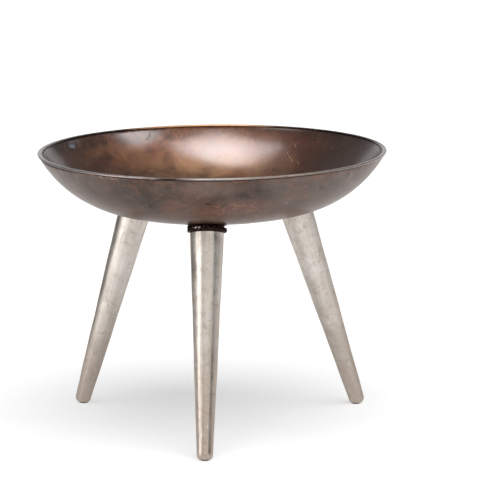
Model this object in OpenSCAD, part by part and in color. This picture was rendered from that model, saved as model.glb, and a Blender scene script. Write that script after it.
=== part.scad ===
// Tripod fire bowl with a lift-out log grate.
// Frame: millimetres, +Z up, origin on the ground under the bowl's centre.
// One leg points along -Y (front), the others 120 degrees away on either side.

/* [Overall] */
// Outside diameter of the bowl's lip
rim_d = 590; // [560:10:620]
// Height of the lip's top above the ground
total_h = 470; // [460:5:490]

/* [Bowl] */
// Radius of the bowl's shallow spherical floor, outside
floor_r = 800; // [740:20:900]
// Radius of the curve that turns the floor up into the side, outside
side_r = 197; // [185:1:205]
// Angle of the side to the horizontal where it meets the lip
side_angle = 61.8; // [60:0.2:63]
// Thickness of the cast wall
wall = 5; // [4:0.5:6]
// Width of the flat lip, from its inner to its outer edge
lip_w = 7.6; // [7:0.1:8.4]
// Height of the lip, whose edges are fully rounded
lip_h = 3.6; // [3:0.1:4]

/* [Legs] */
// Distance from the centre to where a leg's axis meets the ground
foot_circle_r = 280; // [270:1:282]
// Angle of a leg's axis to the vertical
splay = 18.78; // [17:0.1:20]
// Diameter at the top of a leg
leg_top_d = 56.3; // [52:0.1:57]
// Diameter of a leg at the ground, before the tip is rounded
leg_tip_d = 25.8; // [24:0.1:28]
// Rounding of the leg's tip
tip_round = 10; // [8:0.5:11]
// Threaded hole in the top of a leg: depth
leg_hole_depth = 36; // [34:1:44]

/* [Leg fixings] */
// Distance along the leg's axis from the leg's top face to the bowl
boss_h = 12; // [11:0.5:14]
// Diameter of the round boss under the bowl
boss_d = 56; // [50:1:56]
// Diameter over the weld around the boss
weld_d = 67.6; // [64:0.2:70]
// Thread diameter of the leg stud
stud_d = 12; // [10:1:12]
// Thread pitch of the leg stud
stud_pitch = 1.75; // [1.5:0.25:1.75]
// Clearance around the stud in its holes, on the radius
stud_clear = 0.1; // [0.05:0.01:0.15]

/* [Foot pads] */
// Diameter of the pad's disc
pad_d = 15; // [12:0.5:15]
// Thickness of the pad's disc
pad_t = 2; // [1.5:0.5:3]
// Diameter of the pad's stem
pad_stem_d = 5; // [4:0.5:6]
// Length of the pad's stem
pad_stem_h = 9; // [6:1:10]

/* [Grate] */
// Distance from the centre to the ring's centre line
grate_r = 141; // [130:1:145]
// Diameter of every rod in the grate
rod_d = 8; // [7:0.5:8]
// Number of bars on each side of the middle one
bars_each_side = 5; // [4:1:5]
// Distance from bar to bar
bar_pitch = 24; // [22:1:24]
// Height of the grate's top face above the ground
grate_top_z = 396; // [392:1:396]
// Distance of each cross bar from the middle
cross_y = 72; // [60:1:76]
// Distance of each foot from the middle, along its cross bar
grate_foot_x = 94; // [84:1:100]
// Diameter of a grate foot
grate_foot_d = 11; // [10:0.5:12]
// Clearance between the grate's feet and the bowl's floor
grate_gap = 0.3; // [0.2:0.1:0.6]

/* [Hidden] */
$fn = 96;

front_az = 270;
left_az = 150;
right_az = 30;

rim_r = rim_d / 2;
lip_r = lip_h / 2;
// centre of the side's curve
side_cx = rim_r - side_r * sin(side_angle);
side_cz = total_h + side_r * cos(side_angle);
// centre of the floor's sphere, which the side's curve meets smoothly
floor_cz = side_cz + sqrt(pow(floor_r - side_r, 2) - pow(side_cx, 2));
meet_angle = atan2(side_cx, floor_cz - side_cz);

// distance along a leg's axis from the ground to the bowl's outside
axis_b = foot_circle_r * sin(splay) + floor_cz * cos(splay);
axis_to_bowl = axis_b - sqrt(axis_b * axis_b
    - (foot_circle_r * foot_circle_r + floor_cz * floor_cz - floor_r * floor_r));
leg_l = axis_to_bowl - boss_h;

// how far the middle of a leg's flat lies from its axis at the ground
foot_shift = -tan(splay) * leg_tip_d / 2;

rod_r = rod_d / 2;
bar_z = grate_top_z - rod_r;
cross_z = bar_z - rod_d - 0.04;
grate_foot_r = sqrt(pow(grate_foot_x, 2) + pow(cross_y, 2)) + grate_foot_d / 2;
// height of the bowl's inside under the outer edge of a grate foot
grate_foot_z = floor_cz - sqrt(pow(floor_r - wall, 2) - pow(grate_foot_r, 2));

// ---- helpers ----

// Puts its children on a leg's axis: local +Z runs up the leg from the ground
module on_leg(az) {
    rotate([0, 0, az]) translate([foot_circle_r, 0, 0]) rotate([0, -splay, 0]) children();
}

// Half section of the filled dish, set in from the outside by t
module dish_half(t) {
    meet_x = (floor_r - t) * sin(meet_angle);
    intersection() {
        translate([0, floor_cz]) circle(r = floor_r - t, $fn = 1440);
        translate([0, 0]) square([meet_x, total_h + 30]);
    }
    intersection() {
        translate([side_cx, side_cz]) circle(r = side_r - t, $fn = 480);
        translate([meet_x, 0]) square([400, total_h + 30]);
    }
}

// The dish as a solid block, for cutting what meets its outside
module dish_block() {
    rotate_extrude($fn = 360) intersection() {
        dish_half(0);
        square([400, total_h + 20]);
    }
}

// A round rod between two points
module rod(a, b, r) {
    d = b - a;
    translate(a) rotate([0, acos(d.z / norm(d)), atan2(d.y, d.x)]) cylinder(h = norm(d), r = r);
}

// Half section of a leg: a straight taper with a rounded tip
module leg_half() {
    slope = (leg_top_d - leg_tip_d) / 2 / leg_l;
    lean = atan(slope);
    c_r = leg_tip_d / 2 + slope * tip_round - tip_round / cos(lean);
    polygon([
        [0, 0],
        [c_r, 0],
        [c_r, tip_round],
        [c_r + tip_round * cos(lean), tip_round - tip_round * sin(lean)],
        [leg_top_d / 2, leg_l],
        [0, leg_l]
    ]);
    intersection() {
        translate([c_r, tip_round]) circle(r = tip_round);
        translate([c_r, 0]) square([40, tip_round]);
    }
}

// ---- pieces ----

module bowl() {
    color("#5a4038") rotate_extrude($fn = 180) {
        difference() {
            intersection() {
                dish_half(0);
                square([400, total_h - lip_r]);
            }
            dish_half(wall);
        }
        translate([rim_r - lip_r, total_h - lip_r]) circle(r = lip_r);
        translate([rim_r - lip_w + lip_r, total_h - lip_r]) circle(r = lip_r);
        translate([rim_r - lip_w + lip_r, total_h - lip_h]) square([lip_w - lip_h, lip_h]);
    }
}

// Round boss with a threaded hole, fitted to the bowl's underside
module boss(az) {
    color("#2b2422") difference() {
        on_leg(az) translate([0, 0, leg_l]) cylinder(h = boss_h + 20, d = boss_d);
        dish_block();
        on_leg(az) translate([0, 0, leg_l - 1]) cylinder(h = boss_h - 2 + 1, d = stud_d + 2 * stud_clear);
    }
}

// Weld metal built up around the boss, from the leg's top face to the bowl
module weld_bead(az) {
    r0 = boss_d / 2;
    r1 = weld_d / 2;
    b = (r1 - r0) * 0.86;
    color("#241d1c") difference() {
        on_leg(az) translate([0, 0, leg_l]) rotate_extrude() difference() {
            union() {
                translate([r1 - b, b + 0.1]) circle(r = b);
                translate([r0 - 3, 1.6]) square([r1 - r0 + 2.2, boss_h + 18]);
            }
            square([r0, boss_h + 40]);
        }
        dish_block();
    }
}

// Threaded stud, half in the boss and the rest in the leg
module stud(az) {
    depth = 0.61 * stud_pitch;
    below = leg_hole_depth - 4;
    above = boss_h - 3;
    n = floor((below + above - 2) / stud_pitch);
    r = stud_d / 2;
    color("#8d8f92") on_leg(az) translate([0, 0, leg_l - below]) rotate_extrude()
        polygon(concat(
            [[0, 0], [r - depth, 0]],
            [for (i = [0:n - 1], k = [0, 1])
                [k == 0 ? r - depth : r, 1 + (i + k * 0.5) * stud_pitch]],
            [[r - depth, 1 + n * stud_pitch], [r - depth, below + above], [0, below + above]]
        ));
}

// Tapered leg, flat where it stands on its pad
module leg(az) {
    color("#c9bfb4") difference() {
        on_leg(az) rotate_extrude() leg_half();
        translate([-500, -500, -40]) cube([1000, 1000, 40 + pad_t]);
        on_leg(az) translate([0, 0, leg_l - leg_hole_depth])
            cylinder(h = leg_hole_depth + 1, d = stud_d + 2 * stud_clear);
        rotate([0, 0, az]) translate([foot_circle_r + foot_shift, 0, pad_t - 1])
            cylinder(h = pad_stem_h + 1.5, d = pad_stem_d + 0.1);
    }
}

// Soft pad pressed into the tip of the leg
module foot_pad(az) {
    color("#3a3432") rotate([0, 0, az]) translate([foot_circle_r + foot_shift, 0, 0]) {
        cylinder(h = pad_t, d = pad_d);
        cylinder(h = pad_t + pad_stem_h, d = pad_stem_d);
    }
}

module grate_ring() {
    color("#26221f") translate([0, 0, bar_z]) rotate_extrude($fn = 180)
        translate([grate_r, 0]) circle(r = rod_r);
}

// Parallel bars, cut to meet the ring's inside
module grate_bars() {
    color("#26221f") difference() {
        intersection() {
            for (i = [-bars_each_side:bars_each_side]) {
                x = i * bar_pitch;
                rod([x, -grate_r, bar_z], [x, grate_r, bar_z], rod_r);
            }
            translate([0, 0, bar_z - rod_d]) cylinder(h = 2 * rod_d, r = grate_r - 1);
        }
        translate([0, 0, bar_z]) rotate_extrude($fn = 180)
            translate([grate_r, 0]) circle(r = rod_r);
    }
}

// Two bars underneath that carry the others
module grate_cross_bars() {
    half = sqrt(pow(grate_r, 2) - pow(cross_y, 2)) + 1;
    color("#26221f") for (y = [-cross_y, cross_y])
        rod([-half, y, cross_z], [half, y, cross_z], rod_r);
}

// Short feet under the cross bars, standing on the bowl's floor
module grate_feet() {
    color("#26221f") difference() {
        for (x = [-grate_foot_x, grate_foot_x], y = [-cross_y, cross_y])
            translate([x, y, grate_foot_z + grate_gap]) cylinder(h = cross_z - grate_foot_z, d = grate_foot_d);
        grate_cross_bars();
        // keep only what lies under the bars
        translate([-200, -200, cross_z]) cube([400, 400, 50]);
    }
}

bowl();
boss(front_az);  // boss_front
boss(left_az);  // boss_left
boss(right_az);  // boss_right
weld_bead(front_az);  // weld_bead_front
weld_bead(left_az);  // weld_bead_left
weld_bead(right_az);  // weld_bead_right
stud(front_az);  // stud_front
stud(left_az);  // stud_left
stud(right_az);  // stud_right
leg(front_az);  // leg_front
leg(left_az);  // leg_left
leg(right_az);  // leg_right
foot_pad(front_az);  // foot_pad_front
foot_pad(left_az);  // foot_pad_left
foot_pad(right_az);  // foot_pad_right
grate_ring();
grate_bars();
grate_cross_bars();
grate_feet();
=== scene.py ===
import math

import bpy
import numpy as np
from mathutils import Matrix, Vector, noise


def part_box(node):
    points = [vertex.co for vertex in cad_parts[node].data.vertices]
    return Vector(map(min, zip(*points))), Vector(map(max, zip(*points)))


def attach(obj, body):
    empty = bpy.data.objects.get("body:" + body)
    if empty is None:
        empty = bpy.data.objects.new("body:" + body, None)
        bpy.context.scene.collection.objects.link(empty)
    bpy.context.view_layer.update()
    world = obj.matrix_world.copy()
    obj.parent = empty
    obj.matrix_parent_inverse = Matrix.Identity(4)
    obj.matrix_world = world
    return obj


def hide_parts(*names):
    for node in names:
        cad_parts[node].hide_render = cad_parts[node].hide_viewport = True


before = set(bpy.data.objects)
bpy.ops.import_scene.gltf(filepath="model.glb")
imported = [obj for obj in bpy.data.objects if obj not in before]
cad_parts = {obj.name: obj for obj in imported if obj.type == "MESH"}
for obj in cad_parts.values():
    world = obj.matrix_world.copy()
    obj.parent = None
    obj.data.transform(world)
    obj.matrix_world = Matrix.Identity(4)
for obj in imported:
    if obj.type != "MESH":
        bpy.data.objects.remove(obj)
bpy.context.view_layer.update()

# ------------------------------------------------------------------ sizes, in metres
RIM_R = 0.295
TOP_Z = 0.470
FLOOR_R = 0.800
SIDE_R = 0.197
SIDE_ANGLE = math.radians(61.8)
WALL = 0.005
LIP_W = 0.0076
LIP_R = 0.0018
FOOT_R = 0.280
SPLAY = math.radians(18.78)
LEG_TOP_D = 0.0563
LEG_TIP_D = 0.0258
TIP_ROUND = 0.010
BOSS_H = 0.012
WELD_D = 0.0676
PAD_D = 0.015
PAD_T = 0.002
GRATE_R = 0.141
ROD_R = 0.004
BAR_PITCH = 0.024
BARS_EACH_SIDE = 5
GRATE_TOP = 0.396
CROSS_Y = 0.072
GRATE_FOOT_X = 0.094
GRATE_FOOT_R = 0.0055

SIDE_CX = RIM_R - SIDE_R * math.sin(SIDE_ANGLE)
SIDE_CZ = TOP_Z + SIDE_R * math.cos(SIDE_ANGLE)
FLOOR_CZ = SIDE_CZ + math.sqrt((FLOOR_R - SIDE_R) ** 2 - SIDE_CX ** 2)
MEET = math.atan2(SIDE_CX, FLOOR_CZ - SIDE_CZ)
_b = FOOT_R * math.sin(SPLAY) + FLOOR_CZ * math.cos(SPLAY)
AXIS_TO_BOWL = _b - math.sqrt(_b * _b - (FOOT_R ** 2 + FLOOR_CZ ** 2 - FLOOR_R ** 2))
LEG_L = AXIS_TO_BOWL - BOSS_H
BAR_Z = GRATE_TOP - ROD_R
CROSS_Z = BAR_Z - 2 * ROD_R - 0.00004

AZ = {"front": 270.0, "left": 150.0, "right": 30.0}


def leg_matrix(az):
    """Places a leg: local +Z runs up the leg from the ground."""
    return (Matrix.Rotation(math.radians(az), 4, "Z")
            @ Matrix.Translation((FOOT_R, 0, 0))
            @ Matrix.Rotation(-SPLAY, 4, "Y"))


# ------------------------------------------------------------------ mesh helpers
def make_object(name, verts, faces, mats, body, smooth=True, face_mat=None):
    me = bpy.data.meshes.new(name)
    me.from_pydata([tuple(v) for v in verts], [], [tuple(f) for f in faces])
    for m in mats:
        me.materials.append(m)
    if face_mat is not None:
        me.polygons.foreach_set("material_index", np.asarray(face_mat, np.int32))
    if smooth:
        me.polygons.foreach_set("use_smooth", np.ones(len(me.polygons), bool))
    me.validate()
    me.update()
    ob = bpy.data.objects.new(name, me)
    bpy.context.scene.collection.objects.link(ob)
    return ob


def lathe(rings, segs):
    """Faces of a closed surface of revolution: pole, rings of segs points, pole."""
    faces = []
    n = rings
    for s in range(segs):
        t = (s + 1) % segs
        faces.append((0, 1 + s, 1 + t))
    for i in range(n - 1):
        a, b = 1 + i * segs, 1 + (i + 1) * segs
        for s in range(segs):
            t = (s + 1) % segs
            faces.append((a + s, b + s, b + t, a + t))
    last = 1 + n * segs
    a = 1 + (n - 1) * segs
    for s in range(segs):
        t = (s + 1) % segs
        faces.append((last, a + t, a + s))
    return faces


def torus_faces(n_around, n_tube):
    faces = []
    for i in range(n_around):
        j = (i + 1) % n_around
        for k in range(n_tube):
            l = (k + 1) % n_tube
            faces.append((i * n_tube + k, j * n_tube + k, j * n_tube + l, i * n_tube + l))
    return faces


def bumps(rng, n, amp, width):
    """Sum of soft bumps on the unit circle, as a function of an angle array."""
    c = rng.uniform(0, 2 * math.pi, n)
    a = rng.uniform(-1, 1, n) * amp
    w = rng.uniform(0.5, 1.5, n) * width

    def f(t):
        t = np.asarray(t, float)
        out = np.zeros_like(t)
        for ci, ai, wi in zip(c, a, w):
            d = np.abs((t - ci + math.pi) % (2 * math.pi) - math.pi)
            out += ai * np.exp(-(d / wi) ** 2)
        return out
    return f


class Soup:
    """Closed pieces gathered into one mesh."""

    def __init__(self):
        self.v, self.f = [], []

    def add(self, verts, faces):
        k = len(self.v)
        self.v += [tuple(p) for p in verts]
        self.f += [tuple(i + k for i in f) for f in faces]

    def rod(self, a, b, r, seed, segs=28, step=0.004, wob=0.00012):
        """A forged rod between two points, not quite even, with rounded ends."""
        a, b = Vector(a), Vector(b)
        d = (b - a).normalized()
        e1 = d.orthogonal().normalized()
        e2 = d.cross(e1)
        length = (b - a).length
        cap = r * 0.45
        stations = [(cap * (1 - math.cos(t)), (r - cap) + cap * math.sin(t)) for t in (0.0, 0.5, 1.0, math.pi / 2)]
        m = max(2, int(length / step))
        prof = stations + [(cap + (length - 2 * cap) * i / m, r) for i in range(1, m)]
        prof += [(length - s, q) for s, q in reversed(stations)]
        rings = []
        for s, q in prof:
            c = a + d * s
            for j in range(segs):
                t = 2 * math.pi * j / segs
                p = c + (e1 * math.cos(t) + e2 * math.sin(t)) * q
                w = wob * (noise.noise(p * 60.0 + Vector((seed, 0, 0))) - 0.9)
                rings.append(p + (e1 * math.cos(t) + e2 * math.sin(t)) * w)
        verts = [a] + rings + [b]
        k = len(prof)
        faces = [(0, 1 + (j + 1) % segs, 1 + j) for j in range(segs)]
        for i in range(k - 1):
            for j in range(segs):
                l = (j + 1) % segs
                p, q = 1 + i * segs, 1 + (i + 1) * segs
                faces.append((p + j, p + l, q + l, q + j))
        p = 1 + (k - 1) * segs
        faces += [(p + j, p + (j + 1) % segs, len(verts) - 1) for j in range(segs)]
        self.add(verts, faces)

    def blob(self, c, size, seed, rough=0.20, flat_top=None):
        """A drop of weld metal."""
        n, m = 20, 12
        c = Vector(c)
        verts = [c + Vector((0, 0, size[2]))]
        for i in range(1, m):
            for j in range(n):
                p, t = math.pi * i / m, 2 * math.pi * j / n
                verts.append(c + Vector((size[0] * math.sin(p) * math.cos(t), size[1] * math.sin(p) * math.sin(t), size[2] * math.cos(p))))
        verts.append(c - Vector((0, 0, size[2])))
        out = []
        for v in verts:
            k = 1 + rough * noise.noise(v * 380.0 + Vector((seed, seed * 0.3, 0)))
            q = c + (v - c) * k
            if flat_top is not None:
                q.z = min(q.z, flat_top)
            out.append(q)
        faces = [(0, 1 + j, 1 + (j + 1) % n) for j in range(n)]
        for i in range(m - 2):
            for j in range(n):
                l = (j + 1) % n
                p, q = 1 + i * n, 1 + (i + 1) * n
                faces.append((p + j, q + j, q + l, p + l))
        p = 1 + (m - 2) * n
        faces += [(p + j, len(out) - 1, p + (j + 1) % n) for j in range(n)]
        self.add(out, faces)

    def make(self, name, mat, body, slot, *nodes):
        ob = make_object(name, self.v, self.f, [mat], body)
        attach(ob, body)
        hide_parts(*nodes)
        return ob


# ------------------------------------------------------------------ node helpers
class Nodes:
    def __init__(self, name):
        self.mat = bpy.data.materials.new(name)
        self.mat.use_nodes = True
        self.nt = self.mat.node_tree
        self.nt.nodes.clear()
        self.out = self.nt.nodes.new("ShaderNodeOutputMaterial")
        self.bsdf = self.nt.nodes.new("ShaderNodeBsdfPrincipled")
        self.nt.links.new(self.bsdf.outputs[0], self.out.inputs[0])
        self._obj = None

    def put(self, sock, value):
        if isinstance(value, bpy.types.NodeSocket):
            self.nt.links.new(value, sock)
        else:
            sock.default_value = value

    def coords(self):
        if self._obj is None:
            self._obj = self.nt.nodes.new("ShaderNodeTexCoord").outputs["Object"]
        return self._obj

    def mapping(self, vec, loc=(0, 0, 0), rot=(0, 0, 0), scale=(1, 1, 1)):
        m = self.nt.nodes.new("ShaderNodeMapping")
        self.put(m.inputs["Vector"], vec)
        m.inputs["Location"].default_value = loc
        m.inputs["Rotation"].default_value = rot
        m.inputs["Scale"].default_value = scale
        return m.outputs[0]

    def noise(self, vec, scale, detail=4.0, rough=0.55, distort=0.0, out="Fac"):
        n = self.nt.nodes.new("ShaderNodeTexNoise")
        self.put(n.inputs["Vector"], vec)
        n.inputs["Scale"].default_value = scale
        n.inputs["Detail"].default_value = detail
        n.inputs["Roughness"].default_value = rough
        n.inputs["Distortion"].default_value = distort
        return n.outputs[out]

    def voronoi(self, vec, scale, feature="F1", out="Distance", randomness=1.0):
        n = self.nt.nodes.new("ShaderNodeTexVoronoi")
        n.feature = feature
        self.put(n.inputs["Vector"], vec)
        n.inputs["Scale"].default_value = scale
        n.inputs["Randomness"].default_value = randomness
        return n.outputs[out]

    def math(self, op, a, b=0.0, c=None, clamp=False):
        n = self.nt.nodes.new("ShaderNodeMath")
        n.operation = op
        n.use_clamp = clamp
        self.put(n.inputs[0], a)
        self.put(n.inputs[1], b)
        if c is not None:
            self.put(n.inputs[2], c)
        return n.outputs[0]

    def ramp(self, fac, lo, hi, a=0.0, b=1.0, smooth=True):
        n = self.nt.nodes.new("ShaderNodeMapRange")
        n.interpolation_type = "SMOOTHSTEP" if smooth else "LINEAR"
        n.clamp = True
        self.put(n.inputs["Value"], fac)
        n.inputs["From Min"].default_value = lo
        n.inputs["From Max"].default_value = hi
        n.inputs["To Min"].default_value = a
        n.inputs["To Max"].default_value = b
        return n.outputs[0]

    def colors(self, fac, stops):
        n = self.nt.nodes.new("ShaderNodeValToRGB")
        self.put(n.inputs[0], fac)
        el = n.color_ramp.elements
        while len(el) < len(stops):
            el.new(0.5)
        for e, (p, c) in zip(el, stops):
            e.position = p
            e.color = (*c, 1)
        return n.outputs[0]

    def mix(self, fac, a, b, blend="MIX"):
        n = self.nt.nodes.new("ShaderNodeMix")
        n.data_type = "RGBA"
        n.blend_type = blend
        self.put(n.inputs["Factor"], fac)
        for sock, v in ((n.inputs[6], a), (n.inputs[7], b)):
            self.put(sock, (*v, 1) if isinstance(v, tuple) and len(v) == 3 else v)
        return n.outputs[2]

    def sep(self, vec):
        n = self.nt.nodes.new("ShaderNodeSeparateXYZ")
        self.put(n.inputs[0], vec)
        return n.outputs[0], n.outputs[1], n.outputs[2]

    def attr(self, name):
        n = self.nt.nodes.new("ShaderNodeAttribute")
        n.attribute_name = name
        return n.outputs["Fac"]

    def spot(self, vec, centre, radii, soft=1.0):
        """1 at centre falling to 0 at an ellipsoid of these radii."""
        m = self.mapping(vec, loc=tuple(-c / r for c, r in zip(centre, radii)),
                         scale=tuple(1 / r for r in radii))
        n = self.nt.nodes.new("ShaderNodeVectorMath")
        n.operation = "LENGTH"
        self.put(n.inputs[0], m)
        return self.ramp(n.outputs["Value"], 1.0, 1.0 - soft, 0.0, 1.0)

    def vec(self, op, a, b=None, out="Vector", scale=None):
        n = self.nt.nodes.new("ShaderNodeVectorMath")
        n.operation = op
        self.put(n.inputs[0], a)
        if b is not None:
            self.put(n.inputs[1], b)
        if scale is not None:
            self.put(n.inputs["Scale"], scale)
        return n.outputs[out]

    def warp(self, vec, scale, amount, detail=2.0):
        """The position moved about by noise, so that what is drawn with it wanders."""
        n = self.noise(vec, scale, detail, 0.5, 0.0, "Color")
        return self.vec("ADD", vec, self.vec("SCALE", self.vec("SUBTRACT", n, (0.5, 0.5, 0.5)), scale=amount))

    def line(self, vec, a, b, width):
        """1 on the segment from a to b, falling to 0 at this distance from it."""
        ab = Vector(b) - Vector(a)
        ap = self.vec("SUBTRACT", vec, tuple(a))
        t = self.vec("DOT_PRODUCT", ap, tuple(ab / ab.length_squared), "Value")
        t = self.ramp(t, 0.0, 1.0, 0.0, 1.0, False)
        off = self.vec("SUBTRACT", ap, self.vec("SCALE", tuple(ab), scale=t))
        return self.ramp(self.vec("LENGTH", off, out="Value"), width, width * 0.3, 0.0, 1.0)

    def lines(self, vec, paths, width):
        """The brightest of several segments."""
        best = None
        for a, b in paths:
            v = self.line(vec, a, b, width)
            best = v if best is None else self.math("MAXIMUM", best, v)
        return best

    def frame_of(self, M):
        """Object coordinates taken back into the frame this matrix places."""
        inv = M.inverted()
        return self.mapping(self.coords(), loc=tuple(inv.translation), rot=tuple(inv.to_euler("XYZ")))

    def azimuth(self, x, y):
        """0 to 1 as the direction from the middle goes round from -180 to 180 degrees."""
        return self.math("MULTIPLY_ADD", self.math("ARCTAN2", y, x), 1 / (2 * math.pi), 0.5)

    def bump(self, height, strength, distance, normal=None):
        n = self.nt.nodes.new("ShaderNodeBump")
        n.inputs["Strength"].default_value = strength
        n.inputs["Distance"].default_value = distance
        self.put(n.inputs["Height"], height)
        if normal is not None:
            self.put(n.inputs["Normal"], normal)
        return n.outputs[0]

    def set(self, **kw):
        for k, v in kw.items():
            k = k.replace("_", " ")
            v = (*v, 1) if isinstance(v, tuple) and len(v) == 3 else v
            self.put(self.bsdf.inputs[k], v)
        return self


# ------------------------------------------------------------------ camera, the photograph's angle
D = 6.0
EL, PITCH, YAW, ROLL = (math.radians(a) for a in (9.034, 10.653, 0.606, -0.5005))
TURN = math.radians(3.54)
fwd = Vector((math.sin(YAW) * math.cos(PITCH), math.cos(YAW) * math.cos(PITCH), -math.sin(PITCH)))
right = Vector((math.cos(YAW), -math.sin(YAW), 0))
up = right.cross(fwd)
right, up = (math.cos(ROLL) * right + math.sin(ROLL) * up,
             -math.sin(ROLL) * right + math.cos(ROLL) * up)
m = Matrix((right, up, -fwd)).transposed().to_4x4()
m.translation = Vector((0, -D * math.cos(EL), 0.470 + D * math.sin(EL)))
cam_data = bpy.data.cameras.new("camera")
cam_data.sensor_width = 36
cam_data.lens = 3547.9 / 500 * 36
cam_data.clip_end = 200
cam = bpy.data.objects.new("camera", cam_data)
bpy.context.scene.collection.objects.link(cam)
cam.matrix_world = Matrix.Rotation(TURN, 4, "Z") @ m
bpy.context.scene.camera = cam


# ------------------------------------------------------------------ stage: floor, world, lights
sc = bpy.context.scene
sc.view_settings.view_transform = "Standard"
sc.view_settings.look = "None"
world = bpy.data.worlds.new("studio")
sc.world = world
world.use_nodes = True
wn = world.node_tree
wn.nodes.clear()
w_out = wn.nodes.new("ShaderNodeOutputWorld")
w_bg = wn.nodes.new("ShaderNodeBackground")
w_bg.inputs[0].default_value = (0.93, 0.95, 1.0, 1)
w_bg.inputs[1].default_value = 0.15
w_cam = wn.nodes.new("ShaderNodeBackground")
w_cam.inputs[0].default_value = (1, 1, 1, 1)
w_cam.inputs[1].default_value = 1.0
w_path = wn.nodes.new("ShaderNodeLightPath")
w_mix = wn.nodes.new("ShaderNodeMixShader")
wn.links.new(w_path.outputs["Is Camera Ray"], w_mix.inputs[0])
wn.links.new(w_bg.outputs[0], w_mix.inputs[1])
wn.links.new(w_cam.outputs[0], w_mix.inputs[2])
wn.links.new(w_mix.outputs[0], w_out.inputs[0])

floor_mat = bpy.data.materials.new("stage_floor")
floor_mat.use_nodes = True
fn = floor_mat.node_tree
fn.nodes.clear()
f_out = fn.nodes.new("ShaderNodeOutputMaterial")
f_dif = fn.nodes.new("ShaderNodeBsdfDiffuse")
f_dif.inputs[0].default_value = (0.5, 0.5, 0.5, 1)
f_em = fn.nodes.new("ShaderNodeEmission")
f_em.inputs[0].default_value = (1, 1, 1, 1)
f_em.inputs[1].default_value = 0.59
f_add = fn.nodes.new("ShaderNodeAddShader")
fn.links.new(f_dif.outputs[0], f_add.inputs[0])
fn.links.new(f_em.outputs[0], f_add.inputs[1])
fn.links.new(f_add.outputs[0], f_out.inputs[0])
S = 40.0
floor = make_object("stage_floor", [(-S, -S, 0), (S, -S, 0), (S, S, 0), (-S, S, 0)], [(0, 1, 2, 3)],
                    [floor_mat], None, smooth=False)


def aimed(direction, dist, target):
    """Where a light or card stands: azimuth from the camera's side, + to the right, and elevation."""
    az, el = (math.radians(a) for a in direction)
    d = Vector((math.sin(az) * math.cos(el), -math.cos(az) * math.cos(el), math.sin(el)))
    d = Matrix.Rotation(TURN, 3, "Z") @ d
    return Vector(target) + d * dist, d.to_track_quat("Z", "Y").to_euler()


def area(name, direction, dist, size, radiance, color=(1, 1, 1), target=(0, 0, 0.40)):
    """A softbox aimed at the bowl."""
    li = bpy.data.lights.new(name, "AREA")
    li.shape = "RECTANGLE"
    li.size, li.size_y = size
    li.energy = radiance * 4 * size[0] * size[1]
    li.color = color
    ob = bpy.data.objects.new(name, li)
    sc.collection.objects.link(ob)
    ob.location, ob.rotation_euler = aimed(direction, dist, target)
    ob.visible_camera = False
    ob.visible_diffuse = False
    return ob


def card(name, direction, dist, size, radiance, color=(1, 1, 1), target=(0, 0, 0.40)):
    """A card that only the object's gloss sees, grey or dark."""
    mt = bpy.data.materials.new(name)
    mt.use_nodes = True
    nt = mt.node_tree
    nt.nodes.clear()
    o = nt.nodes.new("ShaderNodeOutputMaterial")
    e = nt.nodes.new("ShaderNodeEmission")
    e.inputs[0].default_value = (*color, 1)
    e.inputs[1].default_value = radiance
    nt.links.new(e.outputs[0], o.inputs[0])
    mt.cycles.emission_sampling = "NONE"
    w, h = size[0] / 2, size[1] / 2
    ob = make_object(name, [(-w, -h, 0), (w, -h, 0), (w, h, 0), (-w, h, 0)], [(0, 1, 2, 3)], [mt], None, smooth=False)
    ob.location, ob.rotation_euler = aimed(direction, dist, target)
    ob.visible_camera = False
    ob.visible_shadow = False
    ob.visible_diffuse = False
    return ob


sun_data = bpy.data.lights.new("overhead_sky", "SUN")
sun_data.energy = 3.1
sun_data.angle = math.radians(58)
sun = bpy.data.objects.new("overhead_sky", sun_data)
sc.collection.objects.link(sun)
sun.rotation_euler = aimed((16, 70), 1, (0, 0, 0))[1]
sun.visible_glossy = False
sun.visible_camera = False

area("top_box", (-48, 83.5), 2.2, (1.62, 1.20), 5.4, (0.94, 0.965, 1.0))
area("left_strip", (-56, 22), 2.6, (1.35, 2.4), 1.9)
area("right_box", (74, 52), 2.8, (1.00, 0.85), 7.0, (1.0, 0.96, 0.96))
area("front_fill", (8, 12), 4.0, (6.4, 2.0), 0.93, (1.0, 0.97, 0.93))
card("left_card", (-118, 14), 2.6, (3.6, 3.2), 0.26)
card("right_card", (86, 10), 3.0, (0.9, 3.0), 0.62)
card("leg_strip", (-55, 1), 1.10, (0.40, 0.44), 3.8, target=(-0.20, 0.11, 0.22))
card("leg_shade", (-122, 1), 0.90, (0.90, 0.44), 0.22, target=(-0.20, 0.11, 0.22))
card("back_sweep", (180, 9), 4.0, (4.4, 1.7), 0.80)
card("side_window", (126, 26), 2.6, (0.42, 0.26), 2.0, (0.86, 0.90, 1.0))


# ------------------------------------------------------------------ bowl
LIP_CZ = TOP_Z - LIP_R
LIP_IN = RIM_R - LIP_W + LIP_R
LIP_OUT = RIM_R - LIP_R


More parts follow.
